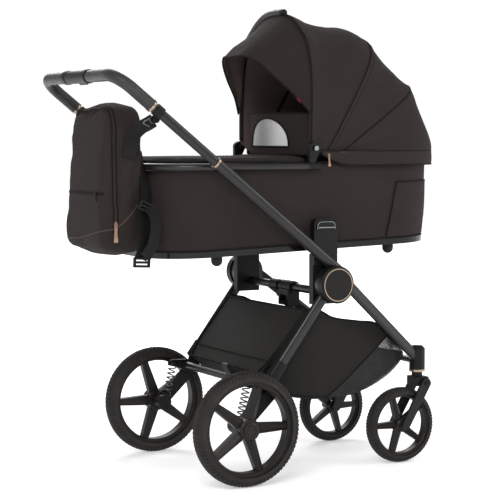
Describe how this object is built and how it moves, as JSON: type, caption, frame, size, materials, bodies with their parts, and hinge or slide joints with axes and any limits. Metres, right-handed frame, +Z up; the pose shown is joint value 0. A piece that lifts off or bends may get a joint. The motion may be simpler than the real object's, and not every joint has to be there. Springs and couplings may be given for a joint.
{
  "type": "baby stroller",
  "caption": "Folding baby stroller with a lift-off carrycot, folding canopy, telescoping handle, sprung spoked wheels, swivelling casters, under-basket and hanging bag.",
  "frame": {"origin": "middle of the footprint's bounding box, on the floor", "axes": "+X forwards to the canopy end, +Y to the left side, +Z up"},
  "size_m": [1.0402, 0.62, 1.256],
  "materials": {
    "frame_tube": "satin",
    "black_plastic": "matte",
    "dark_plastic": "matte",
    "cap_plastic": "matte",
    "gold_trim": "polished",
    "chrome_trim": "polished",
    "steel": "brushed",
    "spring_steel": "satin",
    "tyre": "matte",
    "leather": "satin",
    "fabric": "matte",
    "mesh": "matte",
    "webbing": "matte",
    "gloss_plastic": "gloss",
    "foot_rubber": "matte",
    "lining": "matte",
    "window": "clear"
  },
  "bodies": {
    "front_frame": {"upper_tubes": "frame_tube", "front_legs": "frame_tube", "hub_housings": "black_plastic", "hub_discs": "cap_plastic", "trim_rings": "gold_trim", "hub_pins": "steel", "adapter_posts": "black_plastic", "hub_cross_bar": "frame_tube", "fold_lock_body": "black_plastic", "swivel_housings": "black_plastic", "front_cross_bar": "frame_tube", "basket_panels": "fabric", "basket_mesh": "mesh"},
    "adapter_button_left": {"adapter_button_left": "chrome_trim"},
    "adapter_button_right": {"adapter_button_right": "chrome_trim"},
    "fold_lock": {"fold_lock_slider": "dark_plastic"},
    "rear_frame": {"rear_legs": "frame_tube", "rear_brackets": "black_plastic", "rear_axle_bar": "frame_tube", "rear_spring_left": "spring_steel", "rear_spring_right": "spring_steel"},
    "brake": {"brake_pedal": "dark_plastic"},
    "handle": {"handle_bar": "frame_tube", "handle_grips": "leather", "grip_rings": "gold_trim", "handle_centre": "black_plastic", "bag_clips": "black_plastic"},
    "handle_lever": {"handle_lever": "dark_plastic"},
    "bag": {"bag_body": "fabric", "bag_straps": "webbing"},
    "carrycot": {"tub_shell": "fabric", "tub_base": "gloss_plastic", "tub_feet": "foot_rubber", "rim_tube": "frame_tube", "mattress": "lining", "apron": "fabric", "canopy_hinges": "black_plastic", "canopy_rear": "fabric", "bow_rear": "steel"},
    "canopy_mid": {"canopy_mid": "fabric", "bow_mid": "steel"},
    "canopy_front": {"canopy_front": "fabric", "bow_front": "steel", "visor": "fabric"},
    "wind_flap": {"wind_flap": "fabric", "flap_window": "window"},
    "swing_arm_left": {"swing_arm_left": "black_plastic"},
    "rear_wheel_left": {"rear_rim_left": "dark_plastic", "rear_tyre_left": "tyre"},
    "caster_left": {"caster_fork_left": "black_plastic"},
    "fork_arms_left": {"fork_arms_left": "dark_plastic"},
    "front_wheel_left": {"front_rim_left": "dark_plastic", "front_tyre_left": "tyre"},
    "swing_arm_right": {"swing_arm_right": "black_plastic"},
    "rear_wheel_right": {"rear_rim_right": "dark_plastic", "rear_tyre_right": "tyre"},
    "caster_right": {"caster_fork_right": "black_plastic"},
    "fork_arms_right": {"fork_arms_right": "dark_plastic"},
    "front_wheel_right": {"front_rim_right": "dark_plastic", "front_tyre_right": "tyre"}
  },
  "joints": [
    {"name": "rear_frame_fold", "type": "hinge", "parent": "front_frame", "child": "rear_frame", "pos_m": [0.12211, 0, 0.511], "axis": [0, -1, 0], "range_deg": [0, 55], "deforming": ["basket_panels", "basket_mesh"]},
    {"name": "handle_height", "type": "slide", "parent": "front_frame", "child": "handle", "axis": [-0.7826, 0, 0.6225], "range_m": [0, 0.08]},
    {"name": "handle_lever_press", "type": "slide", "parent": "handle", "child": "handle_lever", "axis": [-0.7826, 0, 0.6225], "range_m": [0, 0.003], "stiffness_N_per_m": 800, "springref_m": -0.002},
    {"name": "bag_swing", "type": "hinge", "parent": "handle", "child": "bag", "pos_m": [-0.38735, 0, 0.94608], "axis": [0, 1, 0], "range_deg": [0, 25]},
    {"name": "carrycot_lift", "type": "slide", "parent": "front_frame", "child": "carrycot", "axis": [0, 0, 1], "range_m": [0, 0.2]},
    {"name": "canopy_mid_fold", "type": "hinge", "parent": "carrycot", "child": "canopy_mid", "pos_m": [0.08311, 0, 0.872], "axis": [0, 1, 0], "range_deg": [0, 26]},
    {"name": "canopy_front_fold", "type": "hinge", "parent": "canopy_mid", "child": "canopy_front", "pos_m": [0.08311, 0, 0.872], "axis": [0, 1, 0], "range_deg": [0, 26]},
    {"name": "wind_flap_fold", "type": "hinge", "parent": "carrycot", "child": "wind_flap", "pos_m": [0.06111, 0, 0.8533], "axis": [0, -1, 0], "range_deg": [0, 80]},
    {"name": "brake_pedal_press", "type": "hinge", "parent": "rear_frame", "child": "brake", "pos_m": [-0.08089, -0.078, 0.25], "axis": [0, -1, 0], "range_deg": [0, 20]},
    {"name": "fold_lock_slide", "type": "slide", "parent": "front_frame", "child": "fold_lock", "axis": [0, -1, 0], "range_m": [0, 0.012]},
    {"name": "adapter_button_left_press", "type": "slide", "parent": "front_frame", "child": "adapter_button_left", "axis": [0, -1, 0], "range_m": [0, 0.0028], "stiffness_N_per_m": 600, "springref_m": -0.002},
    {"name": "adapter_button_right_press", "type": "slide", "parent": "front_frame", "child": "adapter_button_right", "axis": [0, 1, 0], "range_m": [0, 0.0028], "stiffness_N_per_m": 600, "springref_m": -0.002},
    {"name": "rear_suspension_left", "type": "hinge", "parent": "rear_frame", "child": "swing_arm_left", "pos_m": [-0.05989, 0.245, 0.236], "axis": [0, 1, 0], "range_deg": [0, 6], "stiffness_Nm_per_rad": 160, "springref_deg": -6.88, "deforming": ["rear_spring_left"]},
    {"name": "rear_wheel_left_spin", "type": "hinge", "parent": "swing_arm_left", "child": "rear_wheel_left", "pos_m": [-0.15589, 0.281, 0.15], "axis": [0, 1, 0], "continuous": true},
    {"name": "caster_left_swivel", "type": "hinge", "parent": "front_frame", "child": "caster_left", "pos_m": [0.43411, 0.185, 0.23], "axis": [0, 0, 1], "continuous": true},
    {"name": "fork_suspension_left", "type": "hinge", "parent": "caster_left", "child": "fork_arms_left", "pos_m": [0.44411, 0.185, 0.219], "axis": [0, 1, 0], "range_deg": [0, 4], "stiffness_Nm_per_rad": 120, "springref_deg": -6.88},
    {"name": "front_wheel_left_spin", "type": "hinge", "parent": "fork_arms_left", "child": "front_wheel_left", "pos_m": [0.37711, 0.185, 0.104], "axis": [0, 1, 0], "continuous": true},
    {"name": "rear_suspension_right", "type": "hinge", "parent": "rear_frame", "child": "swing_arm_right", "pos_m": [-0.05989, -0.245, 0.236], "axis": [0, 1, 0], "range_deg": [0, 6], "stiffness_Nm_per_rad": 160, "springref_deg": -6.88, "deforming": ["rear_spring_right"]},
    {"name": "rear_wheel_right_spin", "type": "hinge", "parent": "swing_arm_right", "child": "rear_wheel_right", "pos_m": [-0.15589, -0.281, 0.15], "axis": [0, 1, 0], "continuous": true},
    {"name": "caster_right_swivel", "type": "hinge", "parent": "front_frame", "child": "caster_right", "pos_m": [0.43411, -0.185, 0.23], "axis": [0, 0, 1], "continuous": true},
    {"name": "fork_suspension_right", "type": "hinge", "parent": "caster_right", "child": "fork_arms_right", "pos_m": [0.44411, -0.185, 0.219], "axis": [0, 1, 0], "range_deg": [0, 4], "stiffness_Nm_per_rad": 120, "springref_deg": -6.88},
    {"name": "front_wheel_right_spin", "type": "hinge", "parent": "fork_arms_right", "child": "front_wheel_right", "pos_m": [0.37711, -0.185, 0.104], "axis": [0, 1, 0], "continuous": true}
  ],
  "couplings": [
    {"joint": "canopy_front_fold", "follows": "canopy_mid_fold", "ratio": 1}
  ]
}
